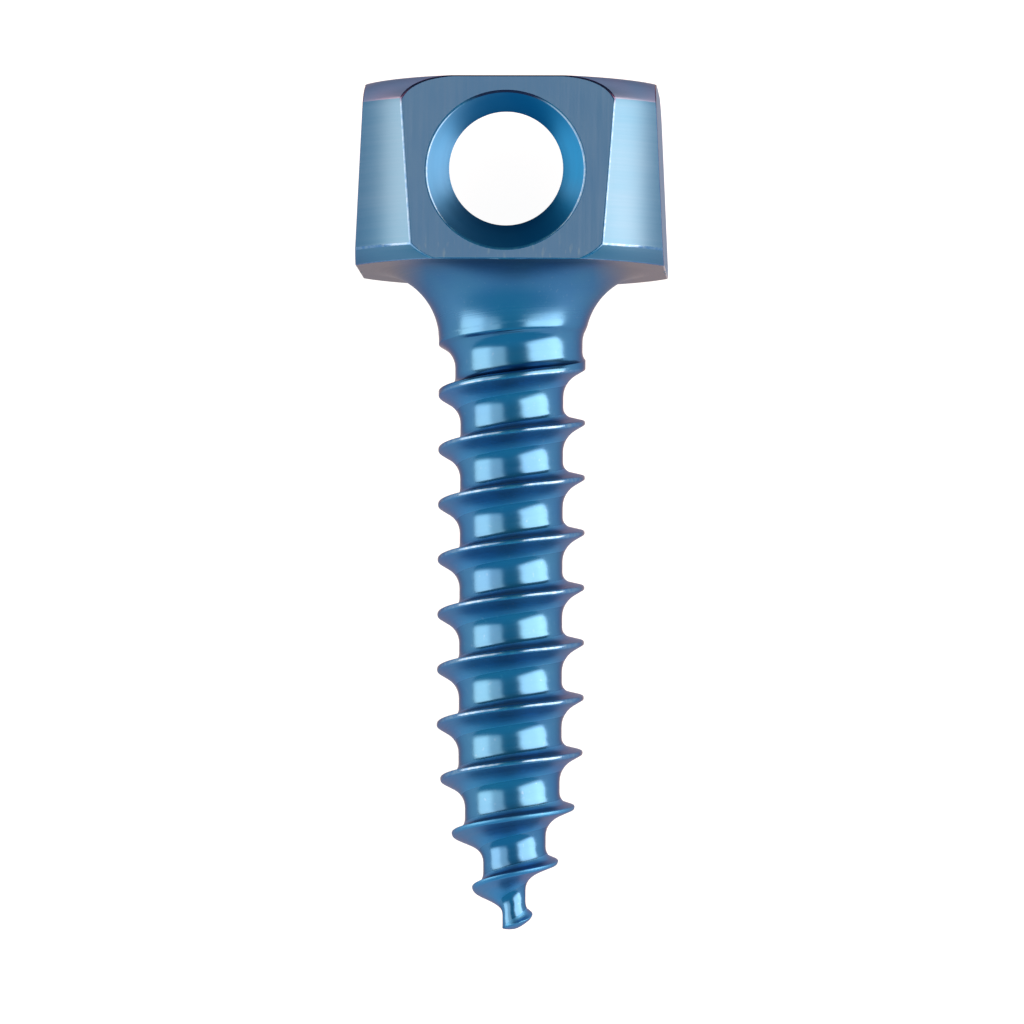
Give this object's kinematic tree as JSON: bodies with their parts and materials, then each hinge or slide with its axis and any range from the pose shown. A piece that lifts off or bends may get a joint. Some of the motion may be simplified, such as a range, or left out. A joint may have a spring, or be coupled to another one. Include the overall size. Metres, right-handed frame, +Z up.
{
  "type": "bone anchor screw",
  "caption": "Bone anchor screw with a square head, a through eyelet for suture or wire, a flared neck and a coarse right-hand bone thread that ends in a blunt self-starting tip.",
  "frame": {"origin": "on the floor under the middle of the screw as it lies, at the bottom centre of its bounding box", "axes": "+Z up; +Y runs along the lying screw from the tip to the head; +X across it, square to the right side flat but for the flat's lean. The screw rests on the lower edge of its back flat and on one crest near the tip, so its axis dips 9.4 degrees towards the tip, and the front mouth of the eyelet faces up"},
  "size_m": [0.0056, 0.0156, 0.0059],
  "materials": {
    "anodised_titanium": "blue anodised titanium alloy, glossy on the thread and satin on the milled flats"
  },
  "bodies": {
    "root": {"anchor_screw": "anodised_titanium"}
  },
  "joints": []
}
